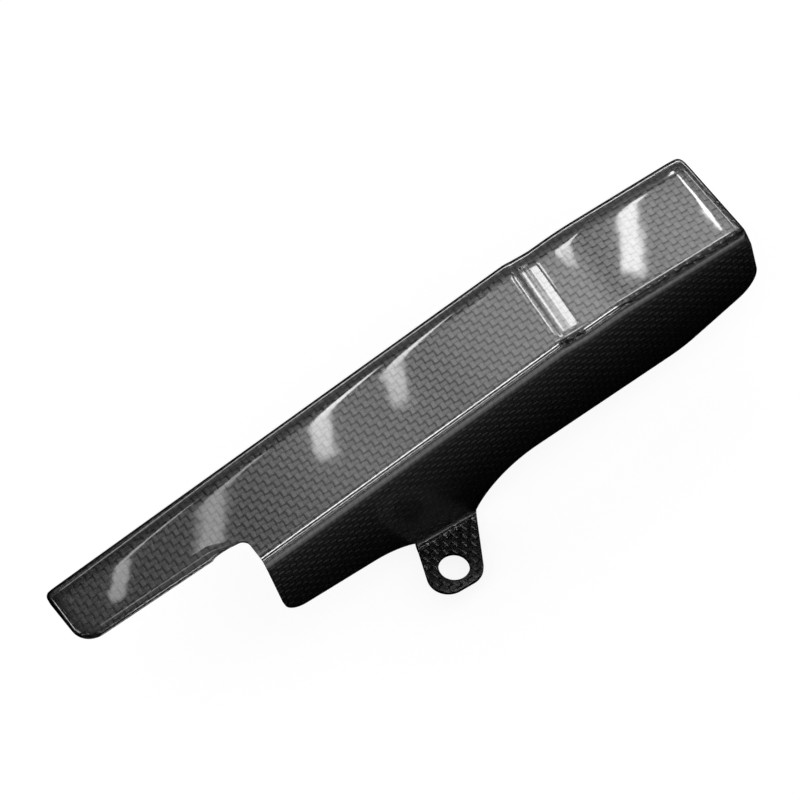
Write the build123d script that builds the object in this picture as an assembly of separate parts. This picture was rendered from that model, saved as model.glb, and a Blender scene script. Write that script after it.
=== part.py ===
"""Motorcycle chain guard, moulded in one piece from carbon-fibre laminate.

A long plate covers the chain from above. Its near edge folds down into a deep side wall, its far
edge and its rear end roll down into short lips, and a narrow tongue runs forward of the wall.
Towards the rear the plate steps down and then pitches down. One ear with a bolt hole stands out
from the foot of the wall.

While it is modelled, x runs back from the tip of the tongue, y runs in from the outer face of the
wall and z is 0 on the outer face of the plate. The finished guard is moved so that its origin is
the middle of the bolt hole, on the face of the ear that seats on the bracket.
"""
from build123d import *
import os
from math import cos, hypot, radians, sin, tan

# Driving dimensions, in millimetres and degrees. A bend is the radius on the inner face.
laminate = 1.6            # thickness of the moulding everywhere
guard_length = 294.0      # tip of the tongue to the rear end
plate_width = 45.5        # outer face of the wall to the far side

fold_bend = 2.9           # where the plate folds into the wall
far_bend = 4.9            # roll along the far edge
end_bend = 0.9            # roll at the rear end
lip_depth = 10.0          # reach of the far and rear lips below the plate

tongue_length = 71.5      # tip of the tongue to the front edge of the wall
tongue_width_tip = 29.6   # far side to the near edge of the tongue, at its tip
tongue_width_root = 32.4  # the same where the wall starts
tongue_corner = 8.5       # corner radius at the near side of the tip
tongue_bend = 0.9         # roll along the tip and the near edge
tongue_lip = 2.6          # reach of the near edge's roll below the plate
notch_radius = 3.0        # inner corner between the tongue and the wall

step_start = 210.5        # tip of the tongue to where the plate begins to step down
step_run = 8.5            # length of the sloping part of the step
step_drop = 2.5           # height of the step
step_radius = 12.0        # both bends of the step, on the outer face
step_skew = 7.0           # turn of the step seen from above
shelf_length = 17.0       # nearly level run behind the step
shelf_pitch = 1.5         # slope of that run
rear_pitch = 8.8          # slope of the rear run
rear_radius = 100.0       # bend between those two runs, on the outer face

wall_front_depth = 46.8   # foot of the wall at its front edge
wall_front_corner = 10.0  # corner radius there
wall_ear_depth = 53.6     # foot of the wall where the front flare starts
flare_front = 18.0        # length of the flare in front of the ear
flare_rear = 32.0         # length of the flare behind the ear
wall_waist_depth = 55.0   # foot of the wall where the rear flare ends
wall_low_depth = 60.8     # deepest place of the foot behind the ear
wall_low_from_end = 38.0  # distance of that place from the rear end
wall_low_radius = 40.0    # turn of the foot at that place
wall_rear_depth = 52.0    # foot of the wall at the rear end
wall_rear_corner = 13.5   # corner radius there

ear_position = 141.8      # tip of the tongue to the middle of the ear's root
ear_depth = 68.3          # plate to the middle of the ear's root
ear_pitch = 13.8          # slope of the ear along the guard
ear_root = 28.0           # width of the ear where it leaves the wall
ear_reach = 25.1          # wall to the end of the ear
ear_corner = 8.2          # corner radius at the end of the ear
ear_end_flat = 6.6        # straight stretch between those corners
ear_end_offset = 8.6      # middle of that stretch, forward of the middle of the root
ear_bend = 2.0            # bend between the wall and the ear
hole_diameter = 12.0      # bolt hole, for a rubber bush
hole_reach = 15.4         # wall to the middle of the hole
hole_offset = 8.0         # middle of the hole, forward of the middle of the root

clear = 20.0              # how far cutting bodies run past the guard
touch = 0.01              # how near to a plane an edge counts as lying in it

# Sizes worked out from those above.
fold_radius = fold_bend + laminate
far_radius = far_bend + laminate
end_radius = end_bend + laminate
tongue_radius = tongue_bend + laminate
body_depth = ear_depth + ear_root + clear
mid_width = plate_width / 2
skew_rate = tan(radians(step_skew))
near_edge_tip = plate_width - tongue_width_tip
near_edge_root = plate_width - tongue_width_root
tongue_taper = (near_edge_root - near_edge_tip) / tongue_length


def rounded_face(edges, corners):
    """Face inside the edges, with each listed corner (place, radius) rounded."""
    face = make_face(edges)
    for place, radius in corners:
        vertex = face.vertices().sort_by_distance(place)[0]
        face = fillet(vertex, radius)
    return face


def side_line():
    """Corners of the plate's outer face seen from the side, from past the tip to past the end."""
    foot = Vector(step_start + step_run, -step_drop)
    bend = foot + Vector(shelf_length, -shelf_length * tan(radians(shelf_pitch)))
    rear_run = guard_length + clear - bend.X
    past = bend + Vector(rear_run, -rear_run * tan(radians(rear_pitch)))
    return [Vector(-clear, 0), Vector(step_start, 0), foot, bend, past]


def inset_line(points, inset):
    """The same corners moved inwards by the inset, square to each straight run."""
    runs = [(after - before).normalized() for before, after in zip(points, points[1:])]
    normals = [Vector(-run.Y, run.X) for run in runs]
    before = [normals[0]] + normals
    after = normals + [normals[-1]]
    return [
        point - (first + second) * (inset / (1 + first.dot(second)))
        for point, first, second in zip(points, before, after)
    ]


def side_face(inset):
    """Side view of the body under the plate, with the bends along the plate rounded."""
    top = inset_line(side_line(), inset)
    foot = [Vector(top[-1].X, -body_depth), Vector(top[0].X, -body_depth)]
    bends = [step_radius - inset, step_radius + inset, rear_radius - inset]
    return rounded_face(Polyline(*top, *foot, close=True).edges(), zip(top[1:4], bends))


def body(inset, near, far):
    """Side view carried across the guard from near to far, along the skew of the step."""
    start = (near - mid_width) * skew_rate
    plane = Plane(origin=(start, near, 0), x_dir=(1, 0, 0), z_dir=(0, -1, 0))
    across = Vector(skew_rate, 1, 0)
    length = (far - near) * across.length
    return extrude(plane * side_face(inset), amount=length, dir=across.normalized())


def long_top_edges(solid, y):
    """Edges along the top of a solid, on its side at y."""
    on_side = solid.edges().filter_by_position(Axis.Y, y - touch, y + touch)
    along = on_side.filter_by(lambda edge: abs(edge.tangent_at(0.5).X) > 0.7)
    lowest = min(edge.center().Z for edge in along)
    return along.filter_by(lambda edge: edge.center().Z > lowest + touch)


def between(x_low, x_high):
    """Block that keeps what lies between two stations along the guard."""
    size = x_high - x_low
    tall = 3 * body_depth
    return Pos(x_low + size / 2, mid_width, 0) * Box(size, tall, tall)


def covered(inset):
    """Solid under the plate, its rolls and its fold, with faces moved in by the inset."""
    solid = body(inset, inset, plate_width - inset)
    solid = fillet(long_top_edges(solid, plate_width - inset), far_radius - inset)
    solid = fillet(long_top_edges(solid, inset), fold_radius - inset)
    end = guard_length - inset
    solid = solid & between(-clear, end)
    rear = solid.edges().filter_by_position(Axis.X, end - touch, end + touch)
    rear = rear.filter_by(lambda edge: edge.center().Z > touch - body_depth)
    return fillet(rear, end_radius - inset)


def notch_plan():
    """Seen from above, the ground that the wall and the plate behind the tongue stand on."""
    front = tongue_length - notch_radius - laminate
    corner = Vector(tongue_length, near_edge_root)
    outline = [
        Vector(tongue_length, -clear),
        corner,
        Vector(front, near_edge_root),
        Vector(front, plate_width + clear),
        Vector(guard_length + clear, plate_width + clear),
        Vector(guard_length + clear, -clear),
    ]
    return rounded_face(Polyline(*outline, close=True).edges(), [(corner, notch_radius)])


def ear_plane():
    """Plane of the ear's upper face: x along its root, y into the guard, z out of that face."""
    slope = radians(ear_pitch)
    return Plane(
        origin=(ear_position, 0, -ear_depth),
        x_dir=(cos(slope), 0, -sin(slope)),
        z_dir=(sin(slope), 0, cos(slope)),
    )


def wall_face():
    """Outline of the wall seen from the side, with x back and y up."""
    root = [
        ear_plane().from_local_coords(Vector(side * ear_root / 2, 0, -laminate))
        for side in (-1, 1)
    ]
    root_front, root_rear = [Vector(point.X, point.Z) for point in root]
    front_top = Vector(tongue_length, clear)
    front_foot = Vector(tongue_length, -wall_front_depth)
    ear_front = Vector(root_front.X - flare_front, -wall_ear_depth)
    ear_rear = Vector(root_rear.X + flare_rear, -wall_waist_depth)
    low = Vector(guard_length - wall_low_from_end, -wall_low_depth)
    rear_foot = Vector(guard_length, -wall_rear_depth)
    rear_top = Vector(guard_length, clear)
    edges = [
        Line(front_top, front_foot),
        Line(front_foot, ear_front),
        TangentArc(ear_front, root_front, tangent=ear_front - front_foot),
        Line(root_front, root_rear),
        TangentArc(ear_rear, root_rear, tangent=ear_rear - low),
        Line(ear_rear, low),
        Line(low, rear_foot),
        Line(rear_foot, rear_top),
        Line(rear_top, front_top),
    ]
    corners = [
        (front_foot, wall_front_corner),
        (low, wall_low_radius),
        (rear_foot, wall_rear_corner),
    ]
    return rounded_face(edges, corners)


def ear():
    """Ear with its bolt hole and the inside of the bend at its root, in its own plane."""
    corner_reach = ear_reach - ear_corner
    root = Line((-ear_root / 2, laminate), (ear_root / 2, laminate))
    edges = root.edges()
    for side in (-1, 1):
        corner = Pos(-ear_end_offset + side * ear_end_flat / 2, -corner_reach) * Circle(ear_corner)
        edges += corner.edges()
    plate = extrude(make_hull(edges), amount=-laminate)
    hole = Pos(-hole_offset, -hole_reach) * Cylinder(hole_diameter / 2, 4 * laminate)
    return plate - hole + bend_corner(ear_bend)


def bend_corner(radius):
    """What lies between a bend of this radius and the sharp corner that it rounds."""
    centre = (-ear_root / 2, -ear_bend, ear_bend)
    across = Plane(origin=centre, x_dir=(0, 1, 0), z_dir=(1, 0, 0))
    corner = Pos(radius / 2, -radius / 2) * Rectangle(radius, radius) - Circle(radius)
    return extrude(across * corner, amount=ear_root)


def main_shell():
    """Plate, rolls, fold and wall, from the front edge of the wall to the rear end."""
    shell = covered(0.0) - covered(laminate)
    ground = extrude(notch_plan(), amount=3 * body_depth)
    shell = shell & (Pos(0, 0, -2 * body_depth) * ground)
    hollow = Pos(0, 0, -lip_depth) * body(0.0, end_radius, plate_width + clear)
    side = Plane(origin=(0, end_radius, 0), x_dir=(1, 0, 0), z_dir=(0, -1, 0))
    wall = extrude(side * wall_face(), amount=end_radius + clear)
    below = Pos(guard_length / 2, end_radius - clear, -lip_depth - body_depth) * Box(
        2 * guard_length, 2 * clear, 2 * body_depth
    )
    return shell - hollow - (below - wall)


def is_tongue_rim(edge, inset):
    """True for the upper edges of the tip and of the near side of the tongue."""
    middle = edge.center()
    near_edge = near_edge_tip + tongue_taper * middle.X + inset
    at_top = abs(middle.Z + inset) < touch
    return at_top and (middle.X < tongue_corner or middle.Y < near_edge + laminate)


def tongue_block(inset):
    """Solid of the tongue with its rolled edges, with faces moved in by the inset."""
    root = tongue_length + clear
    near_inset = inset * hypot(1, tongue_taper)
    far_edge = plate_width - inset
    corner = Vector(inset, near_edge_tip + tongue_taper * inset + near_inset)
    outline = [
        corner,
        Vector(root, near_edge_tip + tongue_taper * root + near_inset),
        Vector(root, far_edge),
        Vector(inset, far_edge),
    ]
    plan = rounded_face(Polyline(*outline, close=True).edges(), [(corner, tongue_corner - inset)])
    solid = Pos(0, 0, -inset) * extrude(plan, amount=-2 * lip_depth)
    solid = fillet(long_top_edges(solid, far_edge), far_radius - inset)
    rim = solid.edges().filter_by(lambda edge: is_tongue_rim(edge, inset))
    return fillet(rim, tongue_radius - inset)


def tongue_shell():
    """Tongue with its far lip, its shallow near lip and a tip lip that tapers from one to the other."""
    shell = tongue_block(0.0) - tongue_block(laminate)
    shell = shell & between(-clear, tongue_length)
    foot = [
        Vector(-clear, -tongue_lip),
        Vector(near_edge_tip, -tongue_lip),
        Vector(plate_width - laminate, -lip_depth),
        Vector(plate_width + clear, -lip_depth),
        Vector(plate_width + clear, -3 * lip_depth),
        Vector(-clear, -3 * lip_depth),
    ]
    across = Plane(origin=(-clear, 0, 0), x_dir=(0, 1, 0), z_dir=(1, 0, 0))
    below = make_face(Polyline(*foot, close=True).edges())
    return shell - extrude(across * below, amount=tongue_length + 2 * clear)


def chain_guard():
    """The whole moulding, with its origin in the seat of the bolt hole."""
    place = ear_plane()
    guard = main_shell() + tongue_shell() + place * ear()
    guard = guard - place * bend_corner(ear_bend + laminate)
    seat = place.from_local_coords(Vector(-hole_offset, -hole_reach, -laminate))
    return Pos(-seat.X, -seat.Y, -seat.Z) * guard


guard = chain_guard()
box = guard.bounding_box()
os.makedirs("parts", exist_ok=True)
export_step(guard, "parts/guard_shell.step")
print("guard_shell", "solids", len(guard.solids()), "volume", round(guard.volume))
print("from", [round(v, 1) for v in box.min], "to", [round(v, 1) for v in box.max])
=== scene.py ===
# %% [markdown]
# Chain guard of carbon laminate. The real part is one moulding: a long plate that folds into a
# side wall, with rolled edges, a narrow tongue and one ear for a bolt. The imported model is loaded
# first, because it fixes where everything is. All shapes below are worked out in millimetres, with
# x back from the tip of the tongue, y in from the outer face of the wall and z up from the plate.

# %% Load the frame
from math import cos, pi, radians, sin, sqrt, tan

import bmesh
import bpy
import numpy as np
from mathutils import Matrix, Vector


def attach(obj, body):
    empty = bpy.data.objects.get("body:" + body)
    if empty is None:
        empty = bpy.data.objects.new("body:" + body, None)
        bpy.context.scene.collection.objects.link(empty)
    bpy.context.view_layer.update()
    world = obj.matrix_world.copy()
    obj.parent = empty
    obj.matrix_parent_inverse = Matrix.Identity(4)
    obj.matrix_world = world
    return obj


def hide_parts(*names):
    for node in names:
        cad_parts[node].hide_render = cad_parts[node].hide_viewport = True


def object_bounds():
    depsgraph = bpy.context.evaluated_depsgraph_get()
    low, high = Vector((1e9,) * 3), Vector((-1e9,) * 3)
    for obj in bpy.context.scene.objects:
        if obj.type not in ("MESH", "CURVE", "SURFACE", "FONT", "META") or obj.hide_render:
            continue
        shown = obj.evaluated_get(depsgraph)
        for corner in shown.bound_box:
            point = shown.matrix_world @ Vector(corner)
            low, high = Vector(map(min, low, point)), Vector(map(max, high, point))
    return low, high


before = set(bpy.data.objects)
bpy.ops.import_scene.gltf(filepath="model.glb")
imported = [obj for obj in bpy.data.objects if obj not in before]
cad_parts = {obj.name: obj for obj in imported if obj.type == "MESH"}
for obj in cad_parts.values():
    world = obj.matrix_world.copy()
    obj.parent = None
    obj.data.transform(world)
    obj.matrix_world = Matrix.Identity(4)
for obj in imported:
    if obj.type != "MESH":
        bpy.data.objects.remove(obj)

cad_low, cad_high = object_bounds()
print("frame loaded, from", [round(v, 4) for v in cad_low], "to", [round(v, 4) for v in cad_high])

# %% [markdown]
# These are the sizes of the moulding. The plate's top, the far side and the tip of the tongue are
# read from the frame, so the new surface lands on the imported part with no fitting.

# %% Sizes of the guard
laminate = 1.6
plate_width = 45.5
lip_depth = 10.0
inside_box = 0.01
guard_length = (cad_high.x - cad_low.x) * 1000 - inside_box
tongue_length = 71.5
tongue_width_tip = 29.6
tongue_width_root = 32.4
notch_radius = 3.0
to_frame = np.array([cad_low.x, cad_high.y - plate_width / 1000, cad_high.z])


def in_frame(points):
    """Millimetres on the guard as metres in the frame: a thousandth, plus the guard's own corner."""
    return np.asarray(points) / 1000 + to_frame


print("guard length", round(guard_length, 2), "mm, corner at", to_frame.round(4))

# %% [markdown]
# Seen from the side, the plate is level, steps down, runs on nearly level and then pitches down.
# A height could be drawn as a curve, but its slope is simpler: it runs evenly between a few places,
# and adding it up along the guard gives the height. The step has small flats in it, made by the folds
# of the cloth there, and each of them catches a light of its own.

# %% Side view of the plate
step_start, step_foot, pitch_start = 209.4, 222.4, 229.6
step_skew = tan(radians(5.0))
step_twist = 0.0004
twist_places, twist_growth = [210.5, 220.8, step_foot, pitch_start], [0, 10.3, 10.3, 0]
side_slope = [
    (step_start, 0), (210.7, 10.9), (211.5, 11.0), (212.1, 18), (213.6, 18), (214.3, 10.9),
    (215.5, 10.8), (215.8, 14), (216.1, 14), (216.35, 10.9), (217.0, 10.8), (217.2, 14),
    (217.45, 14), (217.75, 10.7), (221.1, 10.7), (step_foot, 1.5), (pitch_start, 1.5),
    (242.4, 8.8), (330.0, 8.8)]


def plate_height(x, y):
    """Height of the plate: the slope runs evenly between its places, and its tangent is summed along
    x. The step is twisted a little: its fall grows with y, and the shelf below it takes that back."""
    places, degrees = np.array(side_slope).T
    beyond, samples = 20.0, 9000
    along = np.linspace(-beyond, guard_length + beyond, samples)
    slope = np.radians(np.interp(along, places, degrees))
    fall = np.concatenate([[0.0], np.cumsum(np.tan(slope[:-1]) * np.diff(along))])
    off_middle = y - plate_width / 2
    place = x - off_middle * step_skew
    twist = step_twist * off_middle * np.interp(place, twist_places, twist_growth)
    return -np.interp(place, along, fall) - twist


falls = -plate_height(np.array([step_foot, guard_length]), plate_width / 2)
print("plate falls", falls.round(2), "mm to the foot of the step and to the end")

# %% [markdown]
# An edge of hand-laid laminate doesn't start to roll at a line. It first leans a little over a few
# millimetres, which is what draws out the reflections along the edges, and then turns in an arc.
# One function makes that profile for all edges: distance out, drop and angle along the roll.

# %% Roll of an edge
def edge_roll(table, steps):
    """Profile of an edge: its angle runs evenly between the given places (way along, degrees), and the
    sums of the angle's cosine and sine along the way are the distance out and the drop. Half of the
    steps are shared out by the way and half by the turn."""
    places, turns = np.array(table, float).T
    samples = 6001
    fine = np.linspace(0, places[-1], samples)
    angle = np.radians(np.interp(fine, places, turns))
    out = np.concatenate([[0], np.cumsum(np.cos(angle[:-1]))]) * fine[1]
    drop = np.concatenate([[0], np.cumsum(np.sin(angle[:-1]))]) * fine[1]
    pace = fine / fine[-1] + angle / angle[-1]
    length = np.interp(np.linspace(0, 2, steps + 1), pace, fine)
    kinds = {"out": out, "drop": drop, "angle": angle, "length": fine}
    return {kind: np.interp(length, fine, values) for kind, values in kinds.items()}


far_roll = edge_roll([(0, 0), (1.25, 0.6), (2.5, 2.3), (3.75, 5.1), (5, 9), (13.9, 90)], 24)
fold_roll = edge_roll([(0, 0), (2, 3), (3.0, 18), (3.5, 20.5), (4.2, 48), (4.55, 50), (5.6, 64),
                       (7.1, 80), (9.1, 84.5), (11.1, 87.5), (13.1, 89.2), (16.1, 90)], 48)
rear_roll = edge_roll([(0, 0), (2.5, 1.2), (4.5, 4), (6, 7), (9.5, 90)], 20)
tip_roll = edge_roll([(0, 0), (3.2, 5), (4.0, 25), (6.6, 90)], 16)
near_roll = edge_roll([(0, 0), (3, 3), (5, 8), (6.6, 58)], 16)
print("far roll is", far_roll["out"][-1].round(2), "wide and", far_roll["drop"][-1].round(2), "deep")

# %% [markdown]
# Across the guard the laminate is one line: up the far lip, over the far roll, along the plate, round
# the fold and down the wall. Each row of the grid is one place on that line, with its place across,
# its drop below the plate, the angle of its face and its place on the flat cloth before it was bent.

# %% Section across the guard
far_flat = plate_width - far_roll["out"][-1]
fold_width = fold_roll["out"][-1]
notch_width = plate_width - tongue_width_root - notch_radius
lip_rows, plate_steps, front_steps, wall_steps = 3, 26, 6, 26


def across_rows():
    """Rows from the foot of the far lip to the end of the fold: place, drop, face angle, cloth place.
    The face angle is 90 degrees on the far lip, 0 on the plate and -90 on the wall."""
    lip = np.linspace(lip_depth, far_roll["drop"][-1], lip_rows + 1)[:-1]
    lip_cloth = far_flat + far_roll["length"][-1] + lip - far_roll["drop"][-1]
    plate = np.linspace(far_flat, notch_width, plate_steps + 1)[1:]
    front = np.linspace(notch_width, fold_width, front_steps + 1)[1:]
    flat = np.concatenate([plate, front])
    y = [np.full(lip_rows, plate_width), far_flat + far_roll["out"][::-1], flat,
         fold_width - fold_roll["out"][1:]]
    drop = [lip, far_roll["drop"][::-1], 0 * flat, fold_roll["drop"][1:]]
    angle = [np.full(lip_rows, pi / 2), far_roll["angle"][::-1], 0 * flat, -fold_roll["angle"][1:]]
    cloth = [lip_cloth, far_flat + far_roll["length"][::-1], flat,
             fold_width - fold_roll["length"][1:]]
    return [np.concatenate(part) for part in (y, drop, angle, cloth)]


row_y, row_drop, row_angle, row_cloth = across_rows()
first_plate = lip_rows + len(far_roll["out"]) - 1
shared_rows = first_plate + plate_steps + 1
print(len(row_y), "rows across, of which", shared_rows, "run on into the tongue")

# %% [markdown]
# The foot of the wall is a line with rounded corners, seen from the side. Corners and radii are all
# that it needs: the tangent length of each corner gives the arc, and the arcs are joined by straight
# runs. The two flares beside the ear are such corners too, as long as their runs allow.

# %% Foot of the wall
ear_slope = radians(13.8)
ear_middle = np.array([141.8, 0.0, -68.3])
ear_bend = 2.0
ear_root, ear_reach = 28.0, 25.1
ear_corner, ear_end_flat, ear_end_offset = 8.2, 6.6, 8.6
hole_radius, hole_reach, hole_offset = 6.0, 15.4, 8.0
front_foot_radius, low_foot_radius, rear_foot_radius = 10.0, 40.0, 13.5
front_flare_length, rear_flare_length, rear_rise_length = 18.0, 32.0, 38.0
just_short = 0.999
arc_points = 60


def on_ear(s, y, h):
    """Point of the ear: s along its root, y out from the wall, h above its upper face."""
    s, y, h = np.broadcast_arrays(s, y, h)
    x = ear_middle[0] + s * cos(ear_slope) + h * sin(ear_slope)
    z = ear_middle[2] - s * sin(ear_slope) + h * cos(ear_slope)
    return np.stack([x, y, z], -1)


def touch_point(start, middle, radius, side):
    """Where a line from start touches a circle, on the given side of the line to its middle."""
    to_middle = middle - start
    far = np.hypot(*to_middle)
    length = sqrt(far ** 2 - radius ** 2)
    turn = side * np.arcsin(radius / far)
    way = np.array([[cos(turn), -sin(turn)], [sin(turn), cos(turn)]]) @ to_middle / far
    return start + way * length


corner_middle = np.array([[-ear_end_offset + side * ear_end_flat / 2, ear_corner - ear_reach]
                          for side in (-1, 1)])
side_start = np.array([[-ear_root / 2, laminate], [ear_root / 2, laminate]])
side_touch = np.array([touch_point(side_start[k], corner_middle[k], ear_corner, (-1, 1)[k])
                       for k in (0, 1)])


def ear_side(k, y):
    """Place along the root of the ear's front (0) or rear (1) edge, at y: the line to its corner."""
    share = (y - side_start[k, 1]) / (side_touch[k, 1] - side_start[k, 1])
    return side_start[k, 0] + share * (side_touch[k, 0] - side_start[k, 0])


def rounded_path(corners, radii):
    """Polyline with each inner corner turned on an arc that starts a tangent length before it."""
    corners = np.asarray(corners, float)
    path = [corners[:1]]
    for before, corner, after, radius in zip(corners, corners[1:], corners[2:], radii):
        to_before = (before - corner) / np.hypot(*(before - corner))
        to_after = (after - corner) / np.hypot(*(after - corner))
        half = np.arccos(np.clip(to_before @ to_after, -1, 1)) / 2
        inwards = (to_before + to_after) / np.hypot(*(to_before + to_after))
        middle = corner + inwards * radius / sin(half)
        start = corner + to_before * radius / tan(half) - middle
        end = corner + to_after * radius / tan(half) - middle
        share = np.linspace(0, 1, arc_points)[:, None]
        sweep = pi - 2 * half
        arc = (np.sin((1 - share) * sweep) * start + np.sin(share * sweep) * end) / sin(sweep)
        path.append(middle + arc)
    path.append(corners[-1:])
    return np.concatenate(path)


def flare_corner(start, before, end):
    """Corner and radius of the arc that leaves start along the line from before and reaches end."""
    way = (start - before) / np.hypot(*(start - before))
    span = end - start
    length = span @ span / (2 * way @ span)
    corner = start + way * length
    turn = np.arccos(np.clip(way @ (end - corner) / np.hypot(*(end - corner)), -1, 1))
    return corner, length / tan(turn / 2)


root = [on_ear(ear_side(k, 0.0), 0.0, ear_bend)[[0, 2]] for k in (0, 1)]
front_foot = np.array([tongue_length, -46.8])
front_flare = np.array([root[0][0] - front_flare_length, -53.6])
rear_flare = np.array([root[1][0] + rear_flare_length, -55.0])
low_foot = np.array([guard_length - rear_rise_length, -60.8])
rear_foot = np.array([guard_length, -52.0])
front_corner, front_radius = flare_corner(front_flare, front_foot, root[0])
rear_corner, rear_radius = flare_corner(rear_flare, low_foot, root[1])
front_path = rounded_path([[tongue_length, 0.0], front_foot, front_corner, root[0]],
                          [front_foot_radius, just_short * front_radius])
rear_path = rounded_path([root[1], rear_corner, low_foot, rear_foot, [guard_length, 0.0]],
                         [just_short * rear_radius, low_foot_radius, rear_foot_radius])
foot_path = np.concatenate([front_path[1:], rear_path[:-1]])
print("foot of the wall:", len(foot_path), "points, ear root from", root[0].round(1),
      "to", root[1].round(1))

# %% [markdown]
# The columns of the grid are places along the guard. They lie closer together where the form turns:
# round the corners of the wall, at the ear and over the step.

# %% Columns along the guard
def spread(start, end, step):
    """Even places from start up to end, not counting end, about a step apart."""
    return np.linspace(start, end, max(2, round((end - start) / step)) + 1)[:-1]


wall_pace, plate_pace, step_pace = 1.6, 1.5, 0.25
step_margin = 4.0
corner_columns, ear_steps = 14, 28
corner_turn = np.linspace(0, pi / 2, corner_columns + 1)[:-1]
rear_start = guard_length - rear_roll["out"][-1]
ear_columns = np.linspace(root[0][0], root[1][0], ear_steps + 1)
main_x = np.concatenate([
    tongue_length + front_foot_radius * (1 - np.cos(corner_turn)),
    spread(tongue_length + front_foot_radius, root[0][0], wall_pace),
    ear_columns[:-1],
    spread(root[1][0], step_start - step_margin, wall_pace),
    spread(step_start - step_margin, step_foot + step_margin, step_pace),
    spread(step_foot + step_margin, rear_start, plate_pace),
    rear_start + rear_roll["out"],
])
ear_first = int(np.argmin(abs(main_x - ear_columns[0])))
foot_z = np.interp(main_x, foot_path[:, 0], foot_path[:, 1])
print(len(main_x), "columns along the main part")

# %% [markdown]
# The main part is then a grid of rows by columns. A row's own place across and drop give its point,
# and at the rear end the whole line moves inwards by the drop of the rear roll, so plate, far lip and
# fold all round over into the end. That move fades out down the wall, whose rear edge is cut straight.
# The clear resin isn't quite flat: the cloth prints through it as a slight ripple, which breaks up the
# edges of the reflections.

# %% Main part
lip_end = int(np.argmin(abs(row_drop[shared_rows:] - lip_depth))) + shared_rows
wall_share = np.linspace(0, 1, wall_steps + 1)[1:]
ripple_height = 0.0005
ripple_waves = [(6.2, 20), (5.3, 75), (7.4, 130), (5.8, -35), (13.0, 50)]
fade_drop, fade_share = [0, 3.4, lip_depth], [1.0, 0.8, 0.0]
lean_way, lean_degrees = [0, 2, 7.1, 16.1], [0, 3, 80, 90]


def print_through(x, y):
    """Ripple of a few thousandths of a millimetre that the cloth leaves in the resin: a sum of sines,
    each with a length and a direction, only on the flat of the plate."""
    total = sum(np.sin(2 * pi * (x * cos(radians(way)) + y * sin(radians(way))) / length)
                for length, way in ripple_waves)
    on_flat = np.interp(y, [fold_width, fold_width + 5, far_flat - 1, far_flat + 4], [0, 1, 1, 0])
    return ripple_height * (total - len(ripple_waves)) * on_flat


def at_rear(values):
    """Values for the columns of the rear roll, and zero for all columns before it."""
    return np.concatenate([np.zeros(len(main_x) - len(values)), values])


def main_part():
    """Points and cloth places on a grid (row, column). Upper rows: the plate's height less the drop,
    moved in along the face's normal. Wall rows: even shares of the way from the fold to the foot."""
    fold_rows = np.arange(len(row_y)) >= shared_rows
    fade = np.where(fold_rows, np.interp(row_drop, fade_drop, fade_share), 1.0)
    fold_lean = np.radians(np.interp(fold_width - row_cloth, lean_way, lean_degrees))
    lean = np.where(fold_rows, -fold_lean, row_angle)
    inwards = at_rear(rear_roll["drop"]) * fade[:, None]
    x = np.broadcast_to(main_x, inwards.shape)
    y = row_y[:, None] - inwards * np.sin(lean)[:, None]
    z = plate_height(x, row_y[:, None]) - row_drop[:, None] - inwards * np.cos(lean)[:, None]
    z = z + print_through(x, row_y[:, None])
    cloth_x = x + at_rear(rear_roll["length"] - rear_roll["out"]) * fade[:, None]
    cloth_y = np.broadcast_to(row_cloth[:, None], x.shape)
    wall_z = z[-1] + (foot_z - z[-1]) * wall_share[:, None]
    wall_x = np.broadcast_to(main_x, wall_z.shape)
    wall_cloth = cloth_y[-1] + wall_z - z[-1]
    points = np.stack([np.concatenate([x, wall_x]), np.concatenate([y, 0 * wall_z]),
                       np.concatenate([z, wall_z])], -1)
    cloth = np.stack([np.concatenate([cloth_x, wall_x]), np.concatenate([cloth_y, wall_cloth])], -1)
    return points, cloth


main_points, main_cloth = main_part()
print("main part", main_points.shape[:2])

# %% [markdown]
# The tongue is the same section, cut short: its rows run from the far lip to a near edge that follows
# the corner of the tip, the slightly tapering side and the small round of the notch.

# %% Tongue
tongue_corner = 8.5
roll_run_out = 14.0
tip_columns, notch_columns = 12, 8
tip_inset = tip_roll["out"][-1]
near_inset = near_roll["out"][-1]
near_edge_tip = plate_width - tongue_width_tip
near_edge_root = plate_width - tongue_width_root
tip_turn = np.linspace(0, pi / 2, tip_columns + 1)[:-1]
notch_turn = np.linspace(0, pi / 2, notch_columns + 1)
notch_start = tongue_length - notch_radius
plan_corner = tongue_corner - tip_inset
tongue_x = np.concatenate([
    tip_inset + plan_corner * (1 - np.cos(tip_turn)),
    spread(tip_inset + plan_corner, notch_start, plate_pace),
    notch_start + notch_radius * np.sin(notch_turn),
])


def roll_size(x):
    """Size of the rim's roll at x: whole along the tongue, then in an S-curve to zero at the notch."""
    to_notch = np.clip((tongue_length - x) / roll_run_out, 0, 1)
    return to_notch ** 2 * (3 - 2 * to_notch)


def near_line(x):
    """Where the flat of the tongue ends: the tapering edge, set in by its roll, which runs out before
    the notch, plus an arc at the tip and less an arc at the notch."""
    edge = near_edge_tip + (near_edge_root - near_edge_tip) * x / tongue_length
    inset = near_inset * roll_size(x)
    to_corner = np.clip(tip_inset + plan_corner - x, 0, plan_corner)
    tip_arc = plan_corner - np.sqrt(plan_corner ** 2 - to_corner ** 2)
    into_notch = np.clip(x - notch_start, 0, notch_radius)
    notch_arc = notch_radius - np.sqrt(notch_radius ** 2 - into_notch ** 2)
    return edge + inset + tip_arc - notch_arc


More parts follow.
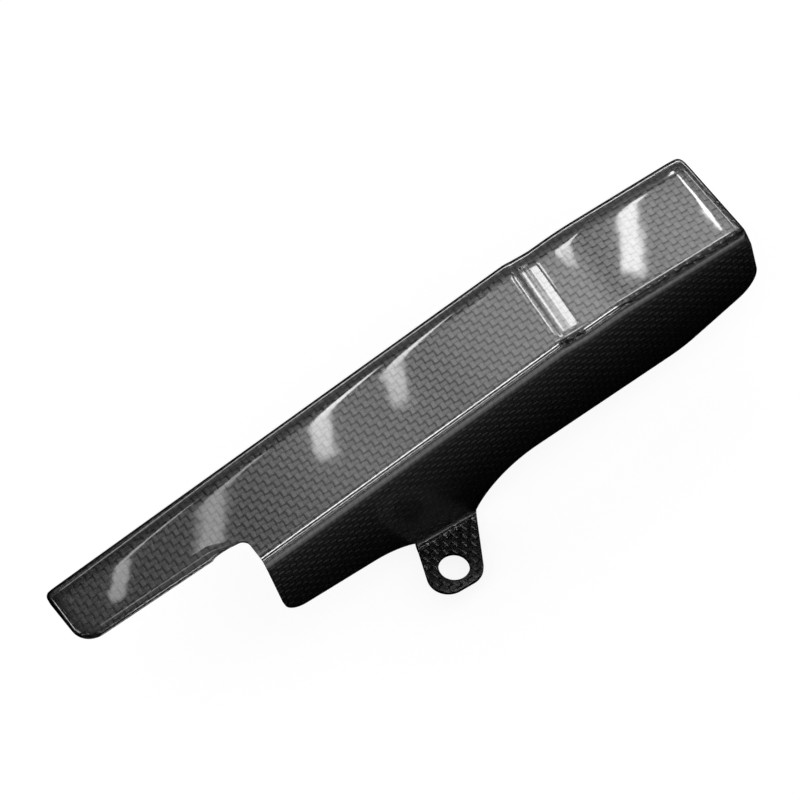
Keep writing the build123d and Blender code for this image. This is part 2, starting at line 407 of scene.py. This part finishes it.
def tongue():
    """Points on a grid (row, column): the far rows as on the main part, then even shares of the way
    from the far roll to the near line."""
    share = np.linspace(0, 1, plate_steps + 1)[1:, None]
    plate_y = far_flat + share * (near_line(tongue_x)[None, :] - far_flat)
    far_y = np.broadcast_to(row_y[:first_plate + 1, None], (first_plate + 1, len(tongue_x)))
    far_cloth = np.broadcast_to(row_cloth[:first_plate + 1, None], far_y.shape)
    y = np.concatenate([far_y, plate_y])
    cloth_y = np.concatenate([far_cloth, plate_y])
    x = np.broadcast_to(tongue_x, y.shape)
    z = print_through(x, y) - row_drop[:shared_rows, None]
    return np.stack([x, y, z], -1), np.stack([x, cloth_y], -1)


tongue_points, tongue_cloth = tongue()
print("tongue", tongue_points.shape[:2])

# %% [markdown]
# The rim of the tongue is a strip carried round its tip and along its near edge. At the tip it turns
# down all the way; along the near edge it turns only part of the way and runs out at the notch. Below
# the tip's roll a flat lip tapers from the depth of the far lip to nothing.

# %% Rim of the tongue
def tongue_rim():
    """A strip from the boundary of the tongue: out along the edge's normal by the roll's distance out,
    and in along the face's normal by its drop. Its roll changes from the tip's to the near edge's."""
    tip = tongue_points[:, 0]
    near = tongue_points[-1, 1:]
    base = np.concatenate([tip, near])
    base_cloth = np.concatenate([tongue_cloth[:, 0], tongue_cloth[-1, 1:]])
    plan = np.concatenate([tip[-1:], near])[:, :2]
    tangent = np.gradient(plan, axis=0)
    tangent /= np.linalg.norm(tangent, axis=1)[:, None]
    outwards = np.zeros((len(base), 3))
    outwards[:len(tip), 0] = -1
    outwards[len(tip):, :2] = np.stack([tangent[:, 1], -tangent[:, 0]], -1)[1:]
    inwards = np.zeros((len(base), 3))
    angle = np.concatenate([row_angle[:shared_rows], np.zeros(len(near))])
    inwards[:, 1], inwards[:, 2] = -np.sin(angle), -np.cos(angle)
    change = np.clip((base[:, 0] - tip_inset) / plan_corner, 0, 1)
    size = roll_size(base[:, 0])[:, None]
    out, drop, length = [(tip_roll[kind] + change[:, None] * (near_roll[kind] - tip_roll[kind])) * size
                         for kind in ("out", "drop", "length")]
    points = base[:, None] + out[..., None] * outwards[:, None] + drop[..., None] * inwards[:, None]
    cloth = base_cloth[:, None] + length[..., None] * outwards[:, None, :2]
    return points, cloth


rim_points, rim_cloth = tongue_rim()
print("rim of the tongue", rim_points.shape[:2])

# %% [markdown]
# Both ends close with a flat lip that hangs from the end of the roll. Its upper side is that end, its
# lower side a straight line, and the two meet at the corners, so the patch is a lens.

# %% Lips of the two ends
lip_steps = 6


def end_lip(upper, upper_cloth):
    """Grid between an upper curve and the straight line that joins its ends: each upper point's share
    of the curve's length gives its lower point, and the rows between are even mixes of the two."""
    length = np.concatenate([[0], np.cumsum(np.linalg.norm(np.diff(upper, axis=0), axis=1))])
    low_y = upper[0, 1] + length / length[-1] * (upper[-1, 1] - upper[0, 1])
    low_z = np.interp(-low_y, -upper[[0, -1], 1], upper[[0, -1], 2])
    lower = np.stack([upper[:, 0], low_y, low_z], -1)
    lower[0], lower[-1] = upper[0], upper[-1]
    mix = np.linspace(0, 1, lip_steps + 1)[None, :, None]
    points = upper[:, None] * (1 - mix) + lower[:, None] * mix
    fallen = np.linalg.norm(points - upper[:, None], axis=-1)
    cloth = np.repeat(upper_cloth[:, None], lip_steps + 1, 1)
    cloth[..., 0] += fallen * np.sign(upper_cloth[0, 0] - tongue_length)
    return points, cloth


tip_lip_points, tip_lip_cloth = end_lip(rim_points[:shared_rows, -1], rim_cloth[:shared_rows, -1])
rear_lip_points, rear_lip_cloth = end_lip(main_points[:lip_end + 1, -1], main_cloth[:lip_end + 1, -1])
print("end lips", tip_lip_points.shape[:2], rear_lip_points.shape[:2])

# %% [markdown]
# The ear leaves the foot of the wall in a small bend. Round its hole a grid of rings fits best: every
# ring is a mix of the circle of the hole and the ear's outline, so both edges are followed exactly.

# %% Ear
bend_steps, side_steps, corner_steps, flat_steps, ring_steps = 8, 12, 14, 4, 10


def ear_bend_strip():
    """Grid (step, column) of a quarter turn from the wall into the ear, narrowing with its sides."""
    turn = np.linspace(0, pi / 2, bend_steps + 1)[:, None]
    y = -ear_bend * (1 - np.cos(turn))
    h = ear_bend * (1 - np.sin(turn))
    share = (ear_columns - ear_columns[0]) / (ear_columns[-1] - ear_columns[0])
    s = ear_side(0, y) + share * (ear_side(1, y) - ear_side(0, y))
    return s, np.broadcast_to(y, s.shape), np.broadcast_to(h, s.shape), ear_bend * turn


def ear_outline(root_s):
    """Closed outline of the flat of the ear: along its root, down the front side, round the two
    corners of its end and up the rear side."""
    side = np.linspace(0, 1, side_steps + 1)[1:, None]
    root_line = np.stack([root_s[::-1], np.full(len(root_s), -ear_bend)], -1)
    corner_start = np.arctan2(*(side_touch[0] - corner_middle[0])[::-1]) % (2 * pi)
    corner_end = np.arctan2(*(side_touch[1] - corner_middle[1])[::-1])
    front_turn = np.linspace(corner_start, 1.5 * pi, corner_steps + 1)[1:, None]
    rear_turn = np.linspace(-0.5 * pi, corner_end, corner_steps + 1)[:, None]
    front_side = root_line[-1] + side * (side_touch[0] - root_line[-1])
    front_arc = corner_middle[0] + ear_corner * np.hstack([np.cos(front_turn), np.sin(front_turn)])
    end_flat = np.linspace(0, 1, flat_steps + 1)[1:-1, None] * [ear_end_flat, 0] + front_arc[-1]
    rear_arc = corner_middle[1] + ear_corner * np.hstack([np.cos(rear_turn), np.sin(rear_turn)])
    rear_side = side_touch[1] + side[:-1] * (root_line[0] - side_touch[1])
    return np.concatenate([root_line, front_side, front_arc, end_flat, rear_arc, rear_side])


def ear_cloth(s, length):
    """Cloth place on the ear: on from the wall, square to the root, by the length round the bend."""
    s, length = np.broadcast_arrays(s, length)
    x = ear_middle[0] + s * cos(ear_slope) - length * sin(ear_slope)
    z = ear_middle[2] - s * sin(ear_slope) - length * cos(ear_slope)
    return np.stack([x, z + main_cloth[-1, ear_first, 1] - main_points[-1, ear_first, 2]], -1)


bend_s, bend_y, bend_h, bend_length = ear_bend_strip()
bend_points = on_ear(bend_s, bend_y, bend_h)
bend_cloth = ear_cloth(bend_s, bend_length - ear_bend)
outline = ear_outline(bend_s[-1])
hole = np.array([-hole_offset, -hole_reach])
from_hole = outline - hole
circle = hole + hole_radius * from_hole / np.linalg.norm(from_hole, axis=1)[:, None]
ring_share = np.linspace(0, 1, ring_steps + 1)[:, None, None]
ring = outline + ring_share * (circle - outline)
ring = np.concatenate([ring, ring[:, :1]], 1)
ear_points = on_ear(ring[..., 0], ring[..., 1], 0.0)
bend_extra = ear_bend * (pi / 2 - 2)
ear_flat_cloth = ear_cloth(ring[..., 0], bend_extra - ring[..., 1])
print("ear", ear_points.shape[:2], "bend", bend_points.shape[:2])

# %% [markdown]
# All patches go into one mesh. Their shared edges were worked out from the same numbers, so merging
# doubles closes the seams. A Solidify modifier then gives the laminate its thickness on the inside,
# and a small bevel rounds the trimmed rims.

# %% One mesh from the patches
weld_distance, sliver = 2e-6, 1e-7


def grid_faces(rows, columns, first, flip):
    """Corner numbers of each cell of a grid whose points are numbered row by row from first."""
    number = first + np.arange(rows * columns).reshape(rows, columns)
    corners = [number[:-1, :-1], number[:-1, 1:], number[1:, 1:], number[1:, :-1]]
    faces = np.stack(corners[::-1] if flip else corners, -1)
    return faces.reshape(-1, 4)


def sheet_mesh(name, patches):
    """One mesh of all patches (points, cloth, flip), with the cloth places in its UV map, in metres."""
    points, cloth, faces, first = [], [], [], 0
    for patch_points, patch_cloth, flip in patches:
        rows, columns = patch_points.shape[:2]
        faces.append(grid_faces(rows, columns, first, flip))
        points.append(patch_points.reshape(-1, 3))
        cloth.append(patch_cloth.reshape(-1, 2))
        first += rows * columns
    points, cloth, faces = (np.concatenate(part) for part in (points, cloth, faces))
    mesh = bpy.data.meshes.new(name)
    mesh.from_pydata(in_frame(points), [], faces)
    layer = mesh.uv_layers.new(name="cloth")
    layer.data.foreach_set("uv", (cloth[faces.reshape(-1)] / 1000).astype(np.float32).reshape(-1))
    mesh.polygons.foreach_set("use_smooth", np.ones(len(faces), bool))
    build = bmesh.new()
    build.from_mesh(mesh)
    bmesh.ops.remove_doubles(build, verts=build.verts, dist=weld_distance)
    bmesh.ops.dissolve_degenerate(build, edges=build.edges, dist=sliver)
    bmesh.ops.recalc_face_normals(build, faces=build.faces)
    if sum(face.normal.z * face.calc_area() for face in build.faces) < 0:
        bmesh.ops.reverse_faces(build, faces=build.faces)
    loose = sum(edge.is_boundary for edge in build.edges)
    crossed = sum(not edge.is_manifold and not edge.is_boundary for edge in build.edges)
    print("open edges", loose, "edges with more than two faces", crossed)
    build.to_mesh(mesh)
    build.free()
    return mesh


shell_mesh = sheet_mesh("guard_skin", [
    (main_points, main_cloth, True),
    (tongue_points, tongue_cloth, True),
    (rim_points, rim_cloth, True),
    (tip_lip_points, tip_lip_cloth, True),
    (rear_lip_points, rear_lip_cloth, False),
    (bend_points, bend_cloth, True),
    (ear_points, ear_flat_cloth, False),
])
guard = bpy.data.objects.new("guard_laminate", shell_mesh)
bpy.context.scene.collection.objects.link(guard)
skin = guard.modifiers.new("laminate", "SOLIDIFY")
skin.thickness = laminate / 1000
skin.offset = -1
skin.use_even_offset = True
rims = guard.modifiers.new("rims", "BEVEL")
rims.limit_method = "ANGLE"
rims.angle_limit = radians(50)
rims.width = 0.0004
rims.segments = 3
rims.harden_normals = True
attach(guard, "root")
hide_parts("guard_shell")
print("guard skin", len(shell_mesh.vertices), "points", len(shell_mesh.polygons), "faces")

# %% [markdown]
# The finish is plain-woven carbon cloth under a polished clear coat. The weave is a node group that
# works on the cloth places: which tow lies on top, how high its crown is, how dark the gaps between
# tows are, and how much painted shade lies at the sides of the weft's steep end. A drawn pattern could
# be laid on too, but nodes stay sharp at any distance. Each tow comes up slowly and dives steeply under
# the next, so each cell has one slight end and one steep, dark end, and the steep ends join up to the
# zigzag that plain cloth shows from afar.

# %% Weave
def nodes_of(tree):
    """Two short helpers for one node tree: one adds a node with its settings, and one adds a Math
    node, sets the numbers that go into it, and links the rest."""
    def add(kind, **values):
        node = tree.nodes.new(kind)
        for key, value in values.items():
            setattr(node, key, value)
        return node

    def maths(operation, first, second=None):
        node = add("ShaderNodeMath", operation=operation)
        for socket, value in zip(node.inputs, (first, second)):
            if value is None:
                continue
            if isinstance(value, (int, float)):
                socket.default_value = value
            else:
                tree.links.new(value, socket)
        return node.outputs[0]

    return add, maths


tow_flat, tow_flank, tow_edge = 0.1, 0.15, 0.38
steep_fall, slight_fall, edge_fall = 0.42, 0.08, 0.3
end_dark, painted_corner_shade, edge_dark, darkest = 3.0, 5.0, 0.4, 0.97
count_from = 1000.0


def weave_group():
    """Plain weave: the cloth is cut into square cells, and the tow on top changes from cell to cell.
    Cells are counted from a thousand up, so that no cell's number is negative. The crown falls with the
    square of the way past the tow's flat middle, much at its steep end and little at its slight end,
    and with the square of the way past its edge. The gap grows with the squares at both ends and with
    the way past the edge. Painted shade is added at the weft's corners, with both ways at its steep
    end, so that only the middle of that end catches light; gap and shade go out together."""
    tree = bpy.data.node_groups.new("plain_weave", "ShaderNodeTree")
    face = tree.interface
    face.new_socket("Along", in_out="INPUT", socket_type="NodeSocketFloat")
    face.new_socket("Across", in_out="INPUT", socket_type="NodeSocketFloat")
    for name in ("Warp", "Crown", "Gap and shade"):
        face.new_socket(name, in_out="OUTPUT", socket_type="NodeSocketFloat")
    add, maths = nodes_of(tree)

    def past(value, start):
        return maths("MAXIMUM", maths("SUBTRACT", value, start), 0.0)

    inlet, outlet = add("NodeGroupInput"), add("NodeGroupOutput")
    along, across = inlet.outputs["Along"], inlet.outputs["Across"]
    cell = maths("ADD", maths("FLOOR", along), maths("FLOOR", across))
    warp = maths("LESS_THAN", maths("MODULO", maths("ADD", cell, count_from), 2.0), 0.5)
    weft = maths("SUBTRACT", 1.0, warp)
    in_a = maths("SUBTRACT", maths("FRACT", along), 0.5)
    in_b = maths("SUBTRACT", maths("FRACT", across), 0.5)
    lengthwise = maths("SUBTRACT", maths("MULTIPLY", in_b, weft), maths("MULTIPLY", in_a, warp))
    sideways = maths("ADD", maths("MULTIPLY", in_b, warp), maths("MULTIPLY", in_a, weft))
    off_line = maths("ABSOLUTE", sideways)
    dive, rise = past(lengthwise, tow_flat), past(maths("MULTIPLY", lengthwise, -1.0), tow_flat)
    flank, edge = past(off_line, tow_flank), past(off_line, tow_edge)
    steep, slight = maths("MULTIPLY", dive, dive), maths("MULTIPLY", rise, rise)
    fall = maths("ADD", maths("MULTIPLY", steep, -steep_fall), maths("MULTIPLY", slight, -slight_fall))
    round_off = maths("MULTIPLY", maths("MULTIPLY", edge, edge), -edge_fall)
    crown = maths("ADD", fall, round_off)
    ends = maths("MULTIPLY", maths("ADD", steep, slight), end_dark)
    # painted shade: the sides of the weft's steep end are darkened, standing in for the shading of a
    # rounded tow, so that only the middle of that end catches light
    corner = maths("MULTIPLY", maths("MULTIPLY", maths("MULTIPLY", dive, flank), weft), painted_corner_shade)
    gap_and_shade = maths("ADD", maths("ADD", maths("MULTIPLY", edge, edge_dark), ends), corner)
    gap_and_shade = maths("MINIMUM", gap_and_shade, darkest)
    tree.links.new(warp, outlet.inputs["Warp"])
    tree.links.new(crown, outlet.inputs["Crown"])
    tree.links.new(gap_and_shade, outlet.inputs["Gap and shade"])
    return tree


plain_weave = weave_group()
print("weave group has", len(plain_weave.nodes), "nodes")

# %% [markdown]
# The laminate's own material is a dark, fairly rough metal-like base, because carbon fibre shines as
# a dark metal does, and a coat of clear resin over it with a sharp shine of its own.

# %% Carbon laminate
tow_pitch = 2.586
cloth_turn = radians(3.5)
tow_tone, painted_warp_sheen = 0.06, 0.008
fibre_roughness, coat_roughness = 0.32, 0.03


def carbon_laminate():
    """Base colour from the tow on top, with a painted sheen that makes the warp a little lighter, and
    from the gaps, which carry painted shade at the weft's corners; bump from the crown, clear coat on
    top.
    """
    material = bpy.data.materials.new("carbon_laminate")
    material.use_nodes = True
    tree = material.node_tree
    add, maths = nodes_of(tree)
    shader = tree.nodes["Principled BSDF"]
    place = add("ShaderNodeUVMap", uv_map="cloth")
    turned = add("ShaderNodeMapping")
    turned.inputs["Rotation"].default_value = (0, 0, cloth_turn)
    turned.inputs["Scale"].default_value = (1000 / tow_pitch,) * 3
    parts = add("ShaderNodeSeparateXYZ")
    weave = add("ShaderNodeGroup", node_tree=plain_weave)
    tree.links.new(place.outputs["UV"], turned.inputs["Vector"])
    tree.links.new(turned.outputs["Vector"], parts.inputs["Vector"])
    tree.links.new(parts.outputs["X"], weave.inputs["Along"])
    tree.links.new(parts.outputs["Y"], weave.inputs["Across"])
    # painted sheen: the warp tows are painted a little lighter than the weft, standing in for the light
    # their fibres catch
    tone = maths("ADD", maths("MULTIPLY", weave.outputs["Warp"], painted_warp_sheen), tow_tone)
    dark = maths("SUBTRACT", 1.0, weave.outputs["Gap and shade"])
    level = maths("MULTIPLY", tone, dark)
    colour = add("ShaderNodeCombineColor")
    for channel in ("Red", "Green", "Blue"):
        tree.links.new(level, colour.inputs[channel])
    tree.links.new(colour.outputs["Color"], shader.inputs["Base Color"])
    bump = add("ShaderNodeBump")
    bump.inputs["Strength"].default_value = 1.0
    bump.inputs["Distance"].default_value = tow_pitch / 1000
    tree.links.new(weave.outputs["Crown"], bump.inputs["Height"])
    tree.links.new(bump.outputs["Normal"], shader.inputs["Normal"])
    shader.inputs["Metallic"].default_value = 1.0
    shader.inputs["Roughness"].default_value = fibre_roughness
    shader.inputs["Coat Weight"].default_value = 1.0
    shader.inputs["Coat Roughness"].default_value = coat_roughness
    return material


shell_mesh.materials.append(carbon_laminate())
print("carbon laminate on", guard.name)

# %% [markdown]
# The camera stands where the photograph was taken from: far away with a long lens, high over the
# wall's side, and turned so that the guard runs up to the right.

# %% Camera
view_azimuth, view_elevation, view_roll = radians(-16.045), radians(62.07), radians(21.501)
view_distance, view_lens = 1.77712, 214.679
view_aim = Vector((0.015325, 0.03729, 0.068312))


def look(azimuth, elevation, roll):
    """Turn of a camera that looks from azimuth and elevation, its top leant to the right by roll."""
    back = Vector((sin(azimuth) * cos(elevation), -cos(azimuth) * cos(elevation), sin(elevation)))
    level = Vector((cos(azimuth), sin(azimuth), 0))
    top = back.cross(level)
    right = level * cos(roll) - top * sin(roll)
    top = back.cross(right)
    return back, Matrix((right, top, back)).transposed()


view_back, view_turn = look(view_azimuth, view_elevation, view_roll)
camera = bpy.data.objects.new("camera", bpy.data.cameras.new("camera"))
camera.data.sensor_width = 36
camera.data.lens = view_lens
camera.data.clip_start, camera.data.clip_end = 0.05, 50
camera.rotation_mode = "QUATERNION"
camera.rotation_quaternion = view_turn.to_quaternion()
camera.location = view_aim + view_back * view_distance
bpy.context.scene.collection.objects.link(camera)
bpy.context.scene.camera = camera
print("camera at", [round(v, 3) for v in camera.location])

# %% [markdown]
# The world is plain white, and the floor is white to the camera and in mirrors, and takes a soft
# shadow. A glossy black part would mirror all that white, so the photographer hangs dark cloth round
# the table. The cloth here is seen by mirror rays only, and so are the lamps: one wide soft panel
# overhead with dark skirts, and narrow strips that draw the streaks and lines.

# %% Floor and surroundings
floor_gap = 0.002
floor_z = cad_low.z - floor_gap
floor_half, floor_tone, floor_shine = 6, 0.2, 0.83
drape_lift, drape_middle = 0.0008, [0.015, 0.0]


def stage_mesh(name, points, faces, material, level=None):
    """A piece of the stage from points in metres, with an optional level of shine at each point."""
    mesh = bpy.data.meshes.new(name)
    mesh.from_pydata(np.asarray(points).reshape(-1, 3), [], faces)
    mesh.materials.append(material)
    if level is not None:
        layer = mesh.attributes.new("level", "FLOAT", "POINT")
        layer.data.foreach_set("value", np.asarray(level, np.float32).reshape(-1))
    piece = bpy.data.objects.new(name, mesh)
    bpy.context.scene.collection.objects.link(piece)
    return piece


def mirror_only(piece):
    """Leave a piece of the stage out of all but mirror rays."""
    piece.visible_camera = False
    piece.visible_diffuse = False
    piece.visible_shadow = False
    piece.visible_transmission = False


def shine_material(name):
    """Material that only shines, by the level stored at each point."""
    material = bpy.data.materials.new(name)
    material.use_nodes = True
    tree = material.node_tree
    tree.nodes.clear()
    add = nodes_of(tree)[0]
    shine, out = add("ShaderNodeEmission"), add("ShaderNodeOutputMaterial")
    stored = add("ShaderNodeAttribute", attribute_name="level")
    tree.links.new(stored.outputs["Fac"], shine.inputs["Strength"])
    tree.links.new(shine.outputs[0], out.inputs["Surface"])
    return material


def pale_floor():
    """Sum of a shine for camera and mirror rays, and a matt floor that takes the shadow."""
    material = bpy.data.materials.new("pale_floor")
    material.use_nodes = True
    tree = material.node_tree
    tree.nodes.clear()
    add, maths = nodes_of(tree)
    path = add("ShaderNodeLightPath")
    seen = maths("MAXIMUM", path.outputs["Is Camera Ray"], path.outputs["Is Glossy Ray"])
    seen = maths("MAXIMUM", seen, path.outputs["Is Transmission Ray"])
    shine, matt = add("ShaderNodeEmission"), add("ShaderNodeBsdfDiffuse")
    total, out = add("ShaderNodeAddShader"), add("ShaderNodeOutputMaterial")
    matt.inputs["Color"].default_value = (floor_tone, floor_tone, floor_tone, 1)
    tree.links.new(maths("MULTIPLY", seen, floor_shine), shine.inputs["Strength"])
    tree.links.new(shine.outputs[0], total.inputs[0])
    tree.links.new(matt.outputs[0], total.inputs[1])
    tree.links.new(total.outputs[0], out.inputs["Surface"])
    return material


def dark_surround():
    """Cloth on the floor out to a circle, then up it, to a height that changes with the direction. It
    is lit a little on the floor in front, past a hand's width, and more and more up the back."""
    degrees = np.linspace(0, 360, 73)
    turn = np.radians(degrees)
    rise = np.interp(degrees, [0, 90, 180, 270, 360], [0.6, 1.35, 1.5, 1.0, 0.6])
    ring = np.stack([np.cos(turn), np.sin(turn)], -1)
    radius = np.array([0.0, 0.12, 0.2, 0.35, 0.8, 1.2, 1.3, 1.3])
    plan = radius[:, None, None] * ring + drape_middle
    height = np.zeros(plan.shape[:2]) + floor_z + drape_lift
    height[-1] += rise
    to_front = np.interp(degrees, [180, 220, 285, 310, 360], [0, 1, 1, 0.2, 0])
    to_back = np.interp(degrees, [30, 60, 120, 150], [0, 1, 1, 0])
    level = np.array([0, 0, 0.1, 0.3, 0.3, 0, 0, 0])[:, None] * to_front
    level += np.array([0, 0, 0, 0, 0, 0, 0.02, 0.5])[:, None] * to_back
    return np.concatenate([plan, height[..., None]], -1), level


floor_corners = [(floor_half * x, floor_half * y, floor_z)
                 for x, y in ((-1, -1), (1, -1), (1, 1), (-1, 1))]
stage_mesh("floor", floor_corners, [(0, 1, 2, 3)], pale_floor())
lamp_shine = shine_material("lamp_shine")
drape_points, drape_level = dark_surround()
surround = stage_mesh("dark_cloth", drape_points, grid_faces(*drape_points.shape[:2], 0, True),
                      lamp_shine, drape_level)
mirror_only(surround)
world = bpy.data.worlds.new("studio")
bpy.context.scene.world = world
world.use_nodes = True
world.node_tree.nodes["Background"].inputs["Color"].default_value = (1, 1, 1, 1)
world.node_tree.nodes["Background"].inputs["Strength"].default_value = 1.0
print("floor at", round(floor_z, 4))

# %% [markdown]
# The panel is darker to the left and ends in dark skirts at the left and behind. Each strip is a
# ribbon on a curve through three places, brightest in its middle. Strips overhead draw the streaks on
# the plate, strips on the floor light the wall, and upright ones in front, behind and at the left draw
# the thin lines on the fold, the far edge and the tip.

# %% Lamps
panel_height = 0.8
panel_z = to_frame[2] + panel_height
panel_along = ([-0.2, -0.08, -0.03, 0.03, 0.09, 0.16, 0.19, 0.33, 0.5, 0.55, 0.6, 0.7, 1.0, 2.2],
               [0.15, 0.30, 0.40, 0.63, 2.0, 1.55, 2.6, 3.6, 1.55, 1.2, 2.75, 2.75, 2.6, 0.6])
panel_across = ([-0.35, -0.2, 0.0, 0.1, 0.3, 0.4, 0.47, 0.55],
                [0.02, 0.05, 0.2, 0.4, 0.85, 1.0, 1.0, 0.07])
strip_steps, strip_cells = 81, 13
side_fade, end_fade = 0.2, 0.006
hung_below = 0.01
upright, upright_left = (0, 1, 0), (1, 0, 0)


def panel_light(x, y):
    """Level of the panel at a place: one curve along it, times one curve across it, dimmed in front at
    the right."""
    dim = np.interp(x, [0.25, 0.45], [0, 0.75]) * np.interp(y, [0.1, 0.3], [1, 0])
    return np.interp(x, *panel_along) * np.interp(y, *panel_across) * (1 - dim)


def soft_panel():
    """Grid of points over the guard, with the panel's level at each."""
    x, y = np.meshgrid(np.linspace(-0.9, 2.2, 156), np.linspace(-1.2, 1.0, 111))
    return np.stack([x, y, np.full_like(x, panel_z)], -1), panel_light(x, y)


def lamp_strip(places, width, power, facing=(0, 0, 1)):
    """Ribbon along the parabola through three places, square to facing. Width and power may change
    along it, and the power fades to its sides and ends."""
    along = np.linspace(0, 1, strip_steps)
    shares = [(1 - along) * (1 - 2 * along), 4 * along * (1 - along), along * (2 * along - 1)]
    middle = sum(share[:, None] * np.array(place) for share, place in zip(shares, places))
    side = np.cross(np.gradient(middle, axis=0), facing)
    side /= np.linalg.norm(side, axis=1)[:, None]
    width, power = [np.interp(along, np.linspace(0, 1, len(values)), values)[:, None]
                    for values in (np.atleast_1d(width), np.atleast_1d(power))]
    across = np.linspace(-0.5, 0.5, strip_cells)
    points = middle[:, None] + (across * width)[..., None] * side[:, None]
    fade = np.clip((0.5 - abs(across)) / side_fade, 0, 1)
    length = np.linalg.norm(np.diff(middle, axis=0), axis=1).sum()
    way = np.minimum(along, 1 - along)[:, None] * length
    return points, power * fade * np.clip(way / end_fade, 0, 1)


def overhead(places, width, power):
    """A strip a little under the panel, with the panel's own level added, as it hides it."""
    points, level = lamp_strip([(x, y, panel_z - hung_below) for x, y in places], width, power)
    return points, level + panel_light(points[..., 0], points[..., 1])


def on_floor(y, lift, width, power):
    """A strip along the guard that lies a little over the floor at y."""
    return lamp_strip([(x, y, floor_z + lift) for x in (-0.3, 0.05, 0.45)], width, power)


def in_front(z, width, power):
    """An upright strip across the front, at height z."""
    return lamp_strip([(-0.5, -1.15, z), (0.0, -1.2, z), (0.5, -1.15, z)], width, power, upright)


strips = [
    # streaks on the tongue and the plate
    overhead([(-0.066, 0.445), (-0.040, 0.470), (0.008, 0.555)], (0.010, 0.010, 0.012), (5.5, 7, 9)),
    overhead([(-0.012, 0.426), (0.022, 0.470), (0.056, 0.530)], (0.019, 0.019, 0.016), (5, 5, 6)),
    overhead([(0.078, 0.434), (0.112, 0.527), (0.145, 0.628)],
             (0.0135, 0.022, 0.022, 0.012), (8, 17, 17, 10)),
    overhead([(0.130, 0.434), (0.164, 0.538), (0.197, 0.640)],
             (0.013, 0.022, 0.022, 0.012), (6.5, 15, 15, 9)),
    # flats of the step
    overhead([(0.196, 0.470), (0.208, 0.485), (0.222, 0.500)], 0.006, 4),
    overhead([(0.300, 0.481), (0.385, 0.480), (0.525, 0.543)], (0.050, 0.055, 0.025), (10, 13, 12)),
    overhead([(0.332, 0.456), (0.352, 0.455), (0.378, 0.453)], 0.016, 6),
    # streaks on the rear plate, and the long glint at its end
    overhead([(0.557, 0.442), (0.580, 0.478), (0.603, 0.522)], 0.017, 16),
    overhead([(0.623, 0.449), (0.655, 0.480), (0.663, 0.535)], (0.018, 0.022, 0.020, 0.016), 22),
    overhead([(0.652, 0.590), (0.668, 0.645), (0.690, 0.715)], 0.035, 20),
    overhead([(0.850, 0.420), (0.853, 0.500), (0.853, 0.600)], 0.03, 14),
    # lines where the near edges and the fold begin to turn
    overhead([(-0.09, 0.33), (0.25, 0.33), (0.66, 0.30)],
             (0.012, 0.012, 0.012, 0.03, 0.08), (8, 3, 3, 10, 16)),
    overhead([(-0.09, -0.165), (0.16, -0.165), (0.42, -0.165)], 0.09, 24),
    # light on the wall
    on_floor(-0.20, 0.002, 0.34, (0.7, 0.7, 0.3, 0.1)),
    on_floor(-0.085, 0.003, 0.11, (1.15, 1.15, 1.1, 0.1)),
    # lower lines of the fold
    in_front(0.11, 0.07, 8),
    in_front(0.50, 0.06, 24),
    # line along the far edge, and the one round the tip
    lamp_strip([(-0.07, 1.03, 0.84), (0.0, 1.07, 0.45), (0.06, 1.09, 0.12)], 0.02, (9, 9, 6), upright),
    lamp_strip([(0.05, 1.09, 0.14), (0.6, 1.09, 0.14), (1.1, 0.48, 0.12)],
               0.16, (6, 8, 12, 12), upright),
    lamp_strip([(-1.0, 0.1, 0.70), (-1.0, 0.5, 0.70), (-0.95, 0.8, 0.70)], 0.16, 16, upright_left),
]
strip_faces = [grid_faces(strip_steps, strip_cells, strip_steps * strip_cells * number, False)
               for number in range(len(strips))]
strip_points, strip_levels = [np.concatenate(part) for part in zip(*strips)]
panel_points, panel_level = soft_panel()
panel = stage_mesh("soft_panel", panel_points, grid_faces(*panel_points.shape[:2], 0, True),
                   lamp_shine, panel_level)
lamps = stage_mesh("lamp_strips", strip_points, np.concatenate(strip_faces), lamp_shine, strip_levels)
mirror_only(panel)
mirror_only(lamps)
print("panel at", round(panel_z, 3), "with", len(strips), "strips")

# %% [markdown]
# The colours are shown as they are, with no film look.

# %% Finish
bpy.context.scene.view_settings.view_transform = "Standard"
